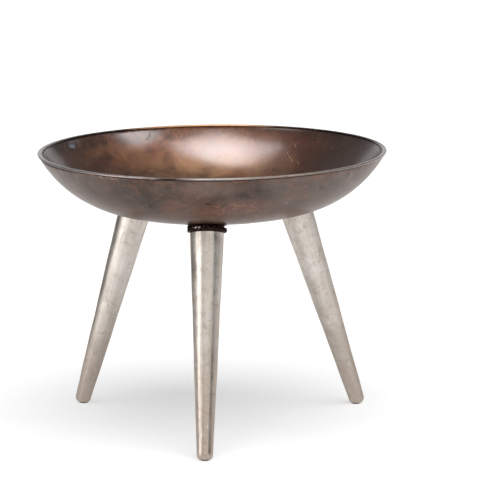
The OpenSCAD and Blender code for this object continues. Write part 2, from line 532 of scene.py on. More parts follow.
def bowl_profile():
    """Points (r, z, u) from the inside's centre over the lip to the outside's centre.
    u tells the zone: 0 inside, 1 lip, 3 the crevice under it, 2 outside."""
    pts = []
    ri, rf = SIDE_R - WALL, FLOOR_R - WALL
    for i in range(1, 27):
        a = MEET * i / 26
        pts.append((rf * math.sin(a), FLOOR_CZ - rf * math.cos(a), 0))
    a1 = math.acos((SIDE_CZ - 0.4667) / ri)
    for i in range(1, 45):
        a = MEET + (a1 - MEET) * i / 44
        pts.append((SIDE_CX + ri * math.sin(a), SIDE_CZ - ri * math.cos(a), 0))
    for i in range(0, 8):
        a = math.radians(205 - i * 115 / 7)
        pts.append((LIP_IN + LIP_R * math.cos(a), LIP_CZ + LIP_R * math.sin(a), 1))
    for i in range(1, 4):
        pts.append((LIP_IN + (LIP_OUT - LIP_IN) * i / 4, TOP_Z, 1))
    for i in range(0, 12):
        a = math.radians(90 - i * 160 / 11)
        pts.append((LIP_OUT + LIP_R * math.cos(a), LIP_CZ + LIP_R * math.sin(a), 1))
    pts.append((0.2930, 0.46615, 3))
    pts.append((0.2926, 0.46570, 3))
    a2 = math.asin((0.2923 - SIDE_CX) / SIDE_R)
    for i in range(0, 45):
        a = a2 + (MEET - a2) * i / 44
        pts.append((SIDE_CX + SIDE_R * math.sin(a), SIDE_CZ - SIDE_R * math.cos(a), 2))
    for i in range(1, 27):
        a = MEET * (1 - i / 27)
        pts.append((FLOOR_R * math.sin(a), FLOOR_CZ - FLOOR_R * math.cos(a), 2))
    return pts


def around(az, centre, width):
    """1 at this azimuth in degrees, falling smoothly either side."""
    d = (az - math.radians(centre) + math.pi) % (2 * math.pi) - math.pi
    return np.exp(-(d / math.radians(width)) ** 2)


def build_bowl(mats):
    segs = 576
    prof = bowl_profile()
    n = len(prof)
    az = np.arange(segs) * 2 * math.pi / segs
    r0 = np.array([p[0] for p in prof])
    z0 = np.array([p[1] for p in prof])
    u = np.array([p[2] for p in prof])
    rng = np.random.default_rng(11)
    lip_wave = bumps(rng, 26, 0.00022, 0.10)
    lip_nick = bumps(rng, 110, 0.00022, 0.015)
    R = np.repeat(r0[:, None], segs, 1)
    Z = np.repeat(z0[:, None], segs, 1)
    T = np.repeat(az[None, :], n, 0)
    # the lip is rough where it was dressed by hand, at the front's left, and sound elsewhere
    rough = 0.35 + 1.5 * around(az, -112, 13) + 0.5 * around(az, -150, 20)
    groove = 0.00010 + 0.00060 * around(az, -150, 30) + 0.0002 * around(az, -40, 30)
    for i in range(n):
        if u[i] == 1:
            outer = max(0.0, (r0[i] - LIP_OUT) / LIP_R)
            top = max(0.0, (z0[i] - LIP_CZ) / LIP_R)
            R[i] -= (0.00012 + np.abs(lip_wave(az)) * 0.5 + np.abs(lip_nick(az)) * rough) * outer
            Z[i] -= (0.00010 + np.abs(lip_wave(az + 1.0)) * 0.5 + np.abs(lip_nick(az + 2.0)) * rough) * top
        elif u[i] == 3:
            R[i] -= groove
    x, y = R * np.cos(T), R * np.sin(T)
    # gentle hand-worked waviness, the same on the inside and the outside
    flat = np.stack([x, y, Z], -1).reshape(-1, 3)
    d = np.empty(len(flat))
    for i, p in enumerate(flat):
        q = Vector((p[0], p[1], 0.0))
        d[i] = noise.noise(q * 9.0) * 0.00055 + noise.noise(q * 24.0 + Vector((3, 1, 7))) * 0.00022
    rr = np.hypot(flat[:, 0], flat[:, 1])
    flat[:, 2] += d * np.clip((0.284 - rr) / 0.03, 0, 1)
    # the rim dips a little at the back, as a hand-made dish does
    aa = np.arctan2(flat[:, 1], flat[:, 0])
    rise = np.clip((rr - 0.20) / 0.09, 0, 1)
    flat[:, 2] -= 0.0007 * np.maximum(0.0, np.sin(aa - TURN)) ** 2 * rise * rise * (3 - 2 * rise)
    verts = [(0, 0, FLOOR_CZ - FLOOR_R + WALL)] + flat.tolist() + [(0, 0, FLOOR_CZ - FLOOR_R)]
    faces = lathe(n, segs)
    zone = [0] * segs
    for i in range(n - 1):
        z = 0 if u[i + 1] == 0 else (1 if u[i + 1] in (1, 3) or u[i] in (1, 3) else 2)
        zone += [z] * segs
    zone += [2] * segs
    return make_object("fire_bowl_shell", verts, faces, mats, "fire_bowl", face_mat=zone)


def bowl_inside():
    N = Nodes("bowl_inside_patina")
    P = N.coords()
    x, y, z = N.sep(P)
    big = N.noise(P, 7.0, 5, 0.6, 0.6)
    mid = N.noise(P, 26.0, 6, 0.62, 0.4)
    fine = N.noise(P, 170.0, 4, 0.65)
    grain = N.noise(P, 620.0, 2, 0.6)
    mott = N.math("ADD", N.math("MULTIPLY", big, 0.5), N.math("MULTIPLY", mid, 0.5))
    base = N.colors(mott, [(0.34, (0.062, 0.024, 0.013)), (0.46, (0.118, 0.050, 0.027)),
                           (0.56, (0.190, 0.088, 0.043)), (0.70, (0.30, 0.150, 0.072))])
    # golden brown low on the back wall and across the floor
    low = N.ramp(N.math("ADD", z, N.math("MULTIPLY", N.math("SUBTRACT", mid, 0.5), 0.05)), 0.425, 0.400)
    gold = N.colors(mott, [(0.40, (0.085, 0.042, 0.019)), (0.60, (0.265, 0.146, 0.070))])
    base = N.mix(N.math("MULTIPLY", low, 0.55), base, gold)
    # blotches of red-brown
    red = N.ramp(N.noise(N.mapping(P, loc=(3.1, 0.4, 1.2)), 40.0, 5, 0.65, 0.5), 0.50, 0.66)
    base = N.mix(N.math("MULTIPLY", red, 0.50), base, (0.20, 0.070, 0.034))
    # the band under the lip is darker, with rust, and widest at the back's left
    left = N.ramp(x, 0.06, -0.12)
    edge = N.math("ADD", z, N.math("MULTIPLY", N.math("SUBTRACT", mid, 0.5), 0.040))
    edge = N.math("ADD", edge, N.math("MULTIPLY", left, 0.010))
    band = N.ramp(edge, 0.447, 0.466)
    dark = N.colors(N.noise(P, 60.0, 6, 0.68, 0.5), [(0.36, (0.018, 0.008, 0.006)), (0.52, (0.060, 0.024, 0.014)), (0.66, (0.170, 0.068, 0.034))])
    mid_back = N.spot(N.warp(P, 20.0, 0.02), (-0.030, 0.285, 0.465), (0.115, 0.080, 0.030), 0.7)
    band = N.math("MULTIPLY", band, N.math("SUBTRACT", 1.0, N.math("MULTIPLY", mid_back, 0.6)))
    base = N.mix(N.math("MULTIPLY", band, 0.85), base, dark)
    # painted shade: the right of the wall is darkened, with a redder patina; the greyer spot where it turns away at the
    # left is a painted reflection, laid on below
    right_shade_and_red = N.ramp(N.math("ADD", x, N.math("MULTIPLY", N.math("SUBTRACT", big, 0.5), 0.08)), 0.035, 0.150)
    base = N.mix(N.math("MULTIPLY", right_shade_and_red, 0.62), base, (0.040, 0.0115, 0.0060))
    # painted highlight: cooler and paler behind the middle, where the overhead softbox's highlight falls
    highlight_tint = N.spot(N.warp(P, 18.0, 0.012), (-0.006, 0.2500, 0.4310), (0.085, 0.060, 0.031), 0.8)
    base = N.mix(N.math("MULTIPLY", highlight_tint, 0.58), base, (0.212, 0.170, 0.158))
    # dark flecks and burnt spots gathered at the back's left
    fleck_zone = N.math("MULTIPLY", N.spot(P, (-0.12, 0.255, 0.452), (0.085, 0.060, 0.022), 0.7), 1.0)
    fleck = N.ramp(N.noise(P, 260.0, 4, 0.7, 0.4), 0.56, 0.64)
    base = N.mix(N.math("MULTIPLY", N.math("MULTIPLY", fleck, fleck_zone), 0.62), base, (0.020, 0.010, 0.009))
    spk = N.ramp(fine, 0.58, 0.74)
    base = N.mix(N.math("MULTIPLY", spk, 0.26), base, (0.42, 0.22, 0.12))
    pit_d = N.voronoi(P, 120.0)
    pit = N.math("MULTIPLY", N.ramp(pit_d, 0.14, 0.05), N.ramp(N.noise(P, 22.0, 2), 0.52, 0.66))
    base = N.mix(N.math("MULTIPLY", pit, 0.8), base, (0.020, 0.011, 0.009))
    # scratches: two long ones down the back's right, finer ones scattered
    W = N.warp(N.warp(P, 45.0, 0.006), 260.0, 0.0018)
    scr = N.lines(W, [((0.1130, 0.2395, 0.4375), (0.1216, 0.2240, 0.4250)),
                      ((0.1225, 0.2215, 0.4235), (0.1285, 0.2070, 0.4145)),
                      ((0.1340, 0.2085, 0.4205), (0.1425, 0.1890, 0.4095)),
                      ((0.1300, 0.2370, 0.4420), (0.1345, 0.2280, 0.4350))], 0.0011)
    sc1 = N.noise(N.mapping(P, rot=(0, 0.5, 0.35), scale=(420, 16, 16)), 1.0, 1.5, 0.5)
    s1 = N.math("MULTIPLY", N.ramp(sc1, 0.70, 0.76), N.ramp(N.noise(P, 8.0, 2), 0.52, 0.62))
    s1 = N.math("MULTIPLY", s1, 0.30)
    scr = N.math("MULTIPLY", scr, N.ramp(N.noise(P, 300.0, 3, 0.6), 0.40, 0.54))
    base = N.mix(N.math("MAXIMUM", s1, N.math("MULTIPLY", scr, 0.62)), base, (0.46, 0.30, 0.17))
    # painted reflection: a small bluish-grey spot on the left of the wall, where it turns away, stands in for reflected
    # pale light
    left_reflection = N.spot(N.warp(P, 90.0, 0.006), (-0.2506, 0.1280, 0.4569), (0.012, 0.014, 0.0055), 0.8)
    base = N.mix(N.math("MULTIPLY", left_reflection, 0.8), base, (0.32, 0.34, 0.39))
    # a hairline crack in the patina
    crack = N.lines(W, [((-0.1240, 0.2560, 0.4625), (-0.1275, 0.2500, 0.4560)),
                        ((-0.1275, 0.2500, 0.4560), (-0.1318, 0.2425, 0.4490)),
                        ((-0.1275, 0.2500, 0.4560), (-0.1215, 0.2490, 0.4520))], 0.0012)
    base = N.mix(N.math("MULTIPLY", crack, 0.85), base, (0.018, 0.009, 0.008))
    # painted shade: a dark line tucked under the lip, where the lip shades the wall
    lip_shadow_line = N.ramp(z, 0.4640, 0.4668)
    lip_shadow_line = N.math("MULTIPLY", lip_shadow_line, N.math("SUBTRACT", 1.0, N.math("MULTIPLY", mid_back, 0.9)))
    base = N.mix(N.math("MULTIPLY", lip_shadow_line, 0.75), base, (0.022, 0.010, 0.007))
    rough = N.math("ADD", N.ramp(mid, 0.3, 0.7, 0.38, 0.50, False), N.math("MULTIPLY", band, 0.05))
    rough = N.math("ADD", rough, N.math("MULTIPLY", N.math("SUBTRACT", fine, 0.5), 0.14))
    h = N.math("ADD", N.math("MULTIPLY", mid, 0.45), N.math("MULTIPLY", fine, 0.24))
    h = N.math("SUBTRACT", h, N.math("MULTIPLY", pit, 0.35))
    h = N.math("SUBTRACT", h, N.math("MULTIPLY", crack, 0.5))
    h = N.math("ADD", h, N.math("MULTIPLY", N.math("MULTIPLY", fleck, fleck_zone), 0.06))
    h = N.math("ADD", h, N.math("MULTIPLY", grain, 0.06))
    nrm = N.bump(h, 0.26, 0.0010)
    N.set(Base_Color=base, Metallic=0.9, Roughness=rough, Normal=nrm)
    N.set(Coat_Weight=1.0, Coat_Roughness=0.21, Coat_IOR=1.58, Coat_Normal=nrm)
    return N.mat


def bowl_outside():
    N = Nodes("bowl_outside_patina")
    P = N.coords()
    x, y, z = N.sep(P)
    big = N.noise(N.mapping(P, loc=(1.3, 2.2, 0)), 6.0, 5, 0.6, 0.5)
    mid = N.noise(P, 24.0, 6, 0.62, 0.5)
    fine = N.noise(P, 190.0, 4, 0.65)
    mott = N.math("ADD", N.math("MULTIPLY", big, 0.45), N.math("MULTIPLY", mid, 0.55))
    base = N.colors(mott, [(0.36, (0.044, 0.026, 0.019)), (0.46, (0.088, 0.056, 0.044)),
                           (0.56, (0.135, 0.090, 0.073)), (0.66, (0.215, 0.150, 0.124))])
    # greyer to the right and at the very left
    grey = N.math("MAXIMUM", N.ramp(N.math("ADD", x, N.math("MULTIPLY", N.math("SUBTRACT", big, 0.5), 0.10)), 0.06, 0.17), N.ramp(x, -0.15, -0.235))
    base = N.mix(N.math("MULTIPLY", grey, 0.40), base, (0.125, 0.112, 0.107))
    # the patina is browner low down, greyer high up; the red-brown patch over the front leg is a painted reflection of
    # the leg
    low = N.ramp(N.math("ADD", z, N.math("MULTIPLY", N.math("SUBTRACT", big, 0.5), 0.04)), 0.432, 0.396)
    base = N.mix(N.math("MULTIPLY", low, 0.45), base, (0.150, 0.078, 0.052))
    # painted reflection of the front leg, in red-brown, on the bowl above it
    front_leg_reflection = N.spot(P, (0.012, -0.232, 0.400), (0.048, 0.046, 0.034), 0.75)
    base = N.mix(N.math("MULTIPLY", front_leg_reflection, 0.75), base, (0.125, 0.055, 0.032))
    # paler in the middle under the lip, darker to the left
    mid_pale = N.spot(N.warp(P, 26.0, 0.020), (0.010, -0.282, 0.450), (0.080, 0.050, 0.022), 0.8)
    base = N.mix(N.math("MULTIPLY", mid_pale, 0.50), base, (0.205, 0.140, 0.115))
    leftish = N.ramp(N.math("ADD", x, N.math("MULTIPLY", N.math("SUBTRACT", big, 0.5), 0.10)), -0.045, -0.12)
    base = N.mix(N.math("MULTIPLY", leftish, 0.38), base, (0.048, 0.033, 0.027))
    # coppery veins where the patina has run, thickest at the front's middle and right
    V = N.warp(P, 28.0, 0.020, 3)
    v = N.noise(N.mapping(V, loc=(0.7, 0.2, 0.1), scale=(1, 1, 2.0)), 19.0, 4, 0.6, 0.8)
    vein = N.ramp(N.math("ABSOLUTE", N.math("SUBTRACT", v, 0.5)), 0.034, 0.0)
    zone = N.math("MAXIMUM", N.spot(P, (0.045, -0.243, 0.410), (0.085, 0.050, 0.026), 0.6),
                  N.math("MULTIPLY", N.ramp(N.noise(P, 11.0, 2), 0.50, 0.62), 0.45))
    vein = N.math("MULTIPLY", vein, zone)
    vein = N.math("MULTIPLY", vein, N.ramp(N.noise(P, 85.0, 4, 0.65), 0.42, 0.60))
    base = N.mix(N.math("MULTIPLY", zone, 0.28), base, (0.200, 0.092, 0.060))
    base = N.mix(N.math("MULTIPLY", vein, 0.72), base, (0.38, 0.175, 0.115))
    red = N.ramp(N.noise(N.mapping(P, loc=(5, 1, 2)), 34.0, 5, 0.65, 0.4), 0.50, 0.68)
    base = N.mix(N.math("MULTIPLY", red, 0.55), base, (0.190, 0.084, 0.054))
    smut = N.ramp(N.noise(N.mapping(P, loc=(2, 7, 4)), 52.0, 6, 0.7, 0.6), 0.52, 0.66)
    base = N.mix(N.math("MULTIPLY", smut, 0.50), base, (0.040, 0.024, 0.019))
    # crinkled skin at the front's left, and a burnt pit near the middle
    crk = N.voronoi(N.warp(P, 60.0, 0.010), 130.0, "DISTANCE_TO_EDGE")
    crk = N.math("MULTIPLY", N.ramp(crk, 0.17, 0.04), N.spot(P, (-0.0900, -0.2400, 0.4190), (0.025, 0.021, 0.017), 0.7))
    base = N.mix(N.math("MULTIPLY", crk, 0.95), base, (0.014, 0.009, 0.008))
    hole = N.spot(N.warp(P, 160.0, 0.005), (0.0086, -0.2597, 0.4229), (0.0085, 0.0060, 0.0046), 0.6)
    base = N.mix(N.math("MULTIPLY", hole, 0.9), base, (0.024, 0.012, 0.010))
    nick = N.line(N.warp(P, 80.0, 0.003), (0.1325, -0.2165, 0.4185), (0.1350, -0.2130, 0.4155), 0.0014)
    base = N.mix(N.math("MULTIPLY", nick, 0.7), base, (0.42, 0.36, 0.32))
    # rusty line and light patches just under the lip
    under = N.ramp(N.math("ADD", z, N.math("MULTIPLY", N.math("SUBTRACT", mid, 0.5), 0.012)), 0.455, 0.463)
    rust = N.ramp(N.noise(P, 70.0, 4, 0.65), 0.50, 0.62)
    base = N.mix(N.math("MULTIPLY", N.math("MULTIPLY", under, rust), 0.6), base, (0.200, 0.080, 0.055))
    pale = N.spot(P, (-0.160, -0.243, 0.4645), (0.060, 0.050, 0.0045), 0.7)
    pale = N.math("MULTIPLY", pale, N.ramp(N.noise(P, 90.0, 4, 0.7), 0.44, 0.60))
    base = N.mix(N.math("MULTIPLY", pale, 0.6), base, (0.36, 0.26, 0.22))
    # grey streaks running down the ends
    az = N.azimuth(x, y)
    st = N.noise(N.mapping(P, scale=(70, 70, 9)), 1.0, 3, 0.6)
    ends = N.ramp(N.math("ABSOLUTE", x), 0.19, 0.26)
    stm = N.math("MULTIPLY", N.ramp(st, 0.50, 0.64), ends)
    base = N.mix(N.math("MULTIPLY", stm, 0.6), base, (0.26, 0.235, 0.215))
    std = N.math("MULTIPLY", N.ramp(st, 0.44, 0.32), ends)
    base = N.mix(N.math("MULTIPLY", std, 0.6), base, (0.045, 0.032, 0.027))
    pit_d = N.voronoi(P, 110.0)
    pit = N.math("MULTIPLY", N.ramp(pit_d, 0.14, 0.05), N.ramp(N.noise(P, 17.0, 2), 0.54, 0.68))
    base = N.mix(N.math("MULTIPLY", pit, 0.6), base, (0.025, 0.014, 0.012))
    rough = N.ramp(mid, 0.3, 0.7, 0.36, 0.50, False)
    rough = N.math("ADD", rough, N.math("MULTIPLY", N.math("SUBTRACT", fine, 0.5), 0.14))
    h = N.math("ADD", N.math("MULTIPLY", mid, 0.50), N.math("MULTIPLY", fine, 0.24))
    h = N.math("SUBTRACT", h, N.math("MULTIPLY", pit, 0.3))
    h = N.math("SUBTRACT", h, N.math("MULTIPLY", crk, 0.7))
    h = N.math("SUBTRACT", h, N.math("MULTIPLY", hole, 1.2))
    h = N.math("ADD", h, N.math("MULTIPLY", vein, 0.2))
    nrm = N.bump(h, 0.26, 0.0010)
    N.set(Base_Color=base, Metallic=0.9, Roughness=rough, Normal=nrm, Specular_Tint=(0.62, 0.56, 0.52))
    N.set(Coat_Weight=0.50, Coat_Roughness=0.28, Coat_IOR=1.5, Coat_Normal=nrm)
    return N.mat


def bowl_lip():
    N = Nodes("bowl_lip_wear_and_painted_light")
    P = N.coords()
    x, y, z = N.sep(P)
    az = N.azimuth(x, y)
    mid = N.noise(P, 45.0, 5, 0.6, 0.3)
    fine = N.noise(P, 260.0, 3, 0.6)
    wob = N.math("MULTIPLY", N.math("SUBTRACT", N.noise(P, 20.0, 3, 0.6), 0.5), 0.012)

    def at(deg):
        return (deg + 180) / 360

    # how far the lip is worn to bare metal, going round it; the copper stops at the back, from 82 to 112 degrees, are a
    # painted highlight of the lit far rim
    wear_and_highlight = N.colors(N.math("ADD", az, wob), [(at(-180), (0.62, 0.590, 0.575)), (at(-140), (0.34, 0.305, 0.290)),
                         (at(-127), (0.32, 0.260, 0.245)), (at(-119), (0.32, 0.262, 0.250)),
                         (at(-112), (0.31, 0.262, 0.250)), (at(-105), (0.22, 0.175, 0.155)),
                         (at(-102.5), (0.030, 0.017, 0.013)), (at(-98.5), (0.035, 0.020, 0.015)),
                         (at(-96), (0.12, 0.095, 0.085)), (at(-90), (0.36, 0.31, 0.295)),
                         (at(-78), (0.38, 0.33, 0.31)), (at(-70), (0.31, 0.245, 0.205)),
                         (at(-52), (0.25, 0.195, 0.165)), (at(-24), (0.42, 0.365, 0.330)),
                         (at(2), (0.60, 0.560, 0.525)), (at(22), (0.018, 0.008, 0.006)),
                         (at(70), (0.030, 0.012, 0.006)), (at(82), (0.55, 0.27, 0.115)),
                         (at(112), (0.60, 0.30, 0.130)), (at(126), (0.030, 0.012, 0.007)),
                         (at(150), (0.060, 0.038, 0.030)), (at(168), (0.50, 0.470, 0.450))])
    speck = N.math("MULTIPLY", N.ramp(fine, 0.50, 0.66), N.ramp(mid, 0.40, 0.60))
    wear_and_highlight = N.mix(N.math("MULTIPLY", speck, 0.35), wear_and_highlight, (0.50, 0.42, 0.40))
    dull = N.ramp(N.noise(P, 120.0, 3, 0.6), 0.52, 0.66)
    wear_and_highlight = N.mix(N.math("MULTIPLY", dull, 0.28), wear_and_highlight, (0.080, 0.050, 0.040))
    # painted shade: below the lip's crown the colour is very dark, standing in for shade in the crevice under the lip;
    # the crown keeps the worn colour
    face = N.ramp(N.math("ADD", z, N.math("MULTIPLY", N.math("SUBTRACT", mid, 0.5), 0.0006)), 0.4668, 0.4677)
    base = N.mix(face, (0.034, 0.019, 0.014), wear_and_highlight)
    rough = N.ramp(fine, 0.3, 0.7, 0.26, 0.42, False)
    N.set(Base_Color=base, Metallic=1.0, Roughness=rough, Normal=N.bump(N.math("ADD", mid, N.math("MULTIPLY", fine, 0.5)), 0.25, 0.0008))
    return N.mat


bowl = build_bowl([bowl_inside(), bowl_lip(), bowl_outside()])
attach(bowl, "fire_bowl")
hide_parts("bowl")


# ------------------------------------------------------------------ legs
def leg_metal(seed, M):
    N = Nodes("leg_raw_nickel_%d" % seed)
    L = N.frame_of(M)
    P = N.mapping(L, loc=(seed * 1.7, seed * 0.9, seed * 0.37))
    x, y, z = N.sep(L)
    streak = N.noise(N.mapping(P, scale=(90, 90, 3.2)), 1.0, 4, 0.6)
    streak2 = N.noise(N.mapping(P, scale=(330, 330, 9)), 1.0, 3, 0.6)
    cloud = N.noise(P, 26.0, 5, 0.65, 0.6)
    mid = N.noise(P, 60.0, 5, 0.62, 0.3)
    fine = N.noise(P, 240.0, 3, 0.6)
    tone = N.math("ADD", N.math("MULTIPLY", streak, 0.5), N.math("MULTIPLY", cloud, 0.5))
    base = N.colors(tone, [(0.34, (0.47, 0.415, 0.365)), (0.50, (0.61, 0.560, 0.510)), (0.66, (0.72, 0.68, 0.635))])
    # browner towards the ground
    low = N.ramp(N.math("ADD", z, N.math("MULTIPLY", N.math("SUBTRACT", cloud, 0.5), 0.12)), 0.30, 0.04)
    base = N.mix(N.math("MULTIPLY", low, 0.72), base, (0.37, 0.300, 0.250))
    mottle = N.ramp(N.noise(P, 95.0, 6, 0.72, 0.4), 0.50, 0.68)
    base = N.mix(N.math("MULTIPLY", mottle, 0.50), base, (0.33, 0.262, 0.215))
    spark = N.ramp(N.noise(N.mapping(P, scale=(260, 260, 60)), 1.0, 4, 0.7), 0.60, 0.72)
    base = N.mix(N.math("MULTIPLY", spark, 0.50), base, (0.86, 0.82, 0.78))
    # smoky stains below the weld
    top = N.ramp(z, LEG_L - 0.085, LEG_L - 0.004)
    smoke = N.math("MULTIPLY", top, N.ramp(N.noise(N.mapping(P, scale=(60, 60, 22)), 1.0, 5, 0.7), 0.47, 0.66))
    base = N.mix(N.math("MULTIPLY", smoke, 0.42), base, (0.220, 0.172, 0.140))
    pit_d = N.voronoi(P, 120.0)
    pit = N.math("MULTIPLY", N.ramp(pit_d, 0.17, 0.05), N.ramp(N.noise(P, 30.0, 2), 0.50, 0.64))
    base = N.mix(N.math("MULTIPLY", pit, 0.50), base, (0.20, 0.155, 0.12))
    stain = N.ramp(N.noise(P, 55.0, 5, 0.7), 0.60, 0.76)
    base = N.mix(N.math("MULTIPLY", stain, 0.40), base, (0.31, 0.225, 0.170))
    rough = N.math("ADD", N.ramp(cloud, 0.3, 0.7, 0.27, 0.42, False), N.math("MULTIPLY", N.math("SUBTRACT", fine, 0.5), 0.14))
    rough = N.math("ADD", rough, N.math("MULTIPLY", N.math("SUBTRACT", streak, 0.5), 0.10))
    h = N.math("ADD", N.math("MULTIPLY", streak, 0.5), N.math("MULTIPLY", streak2, 0.20))
    h = N.math("ADD", h, N.math("MULTIPLY", cloud, 0.55))
    h = N.math("ADD", h, N.math("MULTIPLY", mid, 0.45))
    h = N.math("ADD", h, N.math("MULTIPLY", fine, 0.16))
    h = N.math("SUBTRACT", h, N.math("MULTIPLY", pit, 0.6))
    N.set(Base_Color=base, Metallic=1.0, Roughness=rough, Normal=N.bump(h, 0.50, 0.0012), Specular_Tint=(0.72, 0.68, 0.64))
    return N.mat


def build_leg(side, seed):
    segs = 160
    rng = np.random.default_rng(100 + seed)
    slope = (LEG_TOP_D - LEG_TIP_D) / 2 / LEG_L
    lean = math.atan(slope)
    c_r = LEG_TIP_D / 2 + slope * TIP_ROUND - TIP_ROUND / math.cos(lean)
    prof = [(c_r * 0.35, 0.0), (c_r * 0.75, 0.0)]
    for i in range(0, 13):
        a = math.radians(-90) + (math.radians(90) - lean) * i / 12
        prof.append((c_r + TIP_ROUND * math.cos(a), TIP_ROUND + TIP_ROUND * math.sin(a)))
    r_end, z_end = prof[-1]
    top_r = 0.0022
    n_side = 110
    for i in range(1, n_side + 1):
        z = z_end + (LEG_L - top_r - z_end) * i / n_side
        prof.append((LEG_TOP_D / 2 - slope * (LEG_L - z), z))
    for i in range(1, 6):
        a = math.radians(90 * i / 5)
        prof.append((LEG_TOP_D / 2 - top_r + top_r * math.cos(a), LEG_L - top_r + top_r * math.sin(a)))
    prof += [(LEG_TOP_D / 2 * 0.7, LEG_L), (LEG_TOP_D / 2 * 0.3, LEG_L)]
    n = len(prof)
    th = np.arange(segs) * 2 * math.pi / segs
    facet = bumps(rng, 14, 0.00028, 0.22)
    ridge = bumps(rng, 40, 0.00010, 0.05)
    rows = []
    for i, (r, z) in enumerate(prof):
        k = min(1.0, max(0.0, (z - 0.006) / 0.03)) * min(1.0, max(0.0, (LEG_L - 0.001 - z) / 0.004))
        wob = facet(th + 0.25 * math.sin(z * 9.0 + seed)) + ridge(th + 0.12 * math.sin(z * 14.0 + 2 * seed))
        long_wave = 0.00018 * math.sin(z * 38.0 + seed * 2.1) + 0.00012 * math.sin(z * 91.0 + seed)
        rr = r + k * (wob + long_wave)
        rows.append(np.stack([rr * np.cos(th), rr * np.sin(th), np.full(segs, z)], -1))
    flat = np.concatenate(rows)
    # stand it flat on its pad: lift whatever would reach below the pad's top
    M = leg_matrix(AZ[side])
    inv = M.inverted()
    R3, t3 = np.array(M.to_3x3()), np.array(M.translation)
    w = flat @ R3.T + t3
    low = w[:, 2] < PAD_T
    w[low, 2] = PAD_T
    R3i, t3i = np.array(inv.to_3x3()), np.array(inv.translation)
    flat = w @ R3i.T + t3i
    p0 = np.array(M @ Vector((0, 0, 0)))
    p0[2] = max(p0[2], PAD_T)
    p0 = R3i @ p0 + t3i
    verts = [tuple(p0)] + flat.tolist() + [(0, 0, LEG_L)]
    verts = [M @ Vector(v) for v in verts]
    ob = make_object("leg_%s_casting" % side, verts, [f[::-1] for f in lathe(n, segs)], [leg_metal(seed, M)], "fire_bowl")
    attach(ob, "fire_bowl")
    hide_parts("leg_%s" % side)
    return ob


for i, side in enumerate(AZ):
    build_leg(side, i + 1)


# ------------------------------------------------------------------ welds
def weld_metal(seed, M=None):
    N = Nodes("weld_black_%d" % seed)
    L = N.coords() if M is None else N.frame_of(M)
    P = N.mapping(L, loc=(seed * 2.3, seed * 1.1, 0))
    mid = N.noise(P, 110.0, 5, 0.65, 0.5)
    fine = N.noise(P, 480.0, 3, 0.6)
    base = N.colors(mid, [(0.42, (0.010, 0.006, 0.005)), (0.56, (0.024, 0.012, 0.009)),
                          (0.68, (0.085, 0.042, 0.030)), (0.78, (0.22, 0.150, 0.125))])
    rough = N.ramp(fine, 0.3, 0.7, 0.20, 0.50, False)
    if M is not None:
        # painted highlight: pale glints on the front of the bead, where it catches the light
        W = N.warp(L, 160.0, 0.004)
        painted_glint = N.math("MAXIMUM", N.spot(W, (0.0280, -0.0150, LEG_L + 0.0048), (0.0090, 0.0105, 0.0028), 0.6),
                        N.spot(W, (0.0290, 0.0060, LEG_L + 0.0036), (0.0030, 0.0040, 0.0016), 0.6))
        painted_glint = N.math("MULTIPLY", painted_glint, N.ramp(N.noise(P, 240.0, 3, 0.6), 0.46, 0.58))
        base = N.mix(N.math("MULTIPLY", painted_glint, 0.9), base, (0.62, 0.56, 0.54))
    h = N.math("ADD", N.math("MULTIPLY", mid, 0.6), N.math("MULTIPLY", fine, 0.3))
    N.set(Base_Color=base, Metallic=0.55, Roughness=rough, Normal=N.bump(h, 0.55, 0.0012),
          Specular_IOR_Level=0.25, Specular_Tint=(0.60, 0.50, 0.45))
    return N.mat


def bowl_height_along(M, rho, phi):
    """Distance up a leg's axis, from the leg's own frame, at which a line beside the axis meets the bowl's outside."""
    o = M @ Vector((rho * math.cos(phi), rho * math.sin(phi), 0))
    d = (M.to_3x3() @ Vector((0, 0, 1))).normalized()
    c = Vector((0, 0, FLOOR_CZ))
    oc = o - c
    b = oc.dot(d)
    q = oc.dot(oc) - FLOOR_R ** 2
    s = -b - math.sqrt(max(0.0, b * b - q))
    p = o + d * s
    r = math.hypot(p.x, p.y)
    if r > FLOOR_R * math.sin(MEET):
        lo, hi = s - 0.03, s + 0.03
        for _ in range(40):
            mid = (lo + hi) / 2
            p = o + d * mid
            r = math.hypot(p.x, p.y)
            zz = SIDE_CZ - math.sqrt(max(0.0, SIDE_R ** 2 - (r - SIDE_CX) ** 2))
            if p.z < zz:
                lo = mid
            else:
                hi = mid
        s = (lo + hi) / 2
    return s


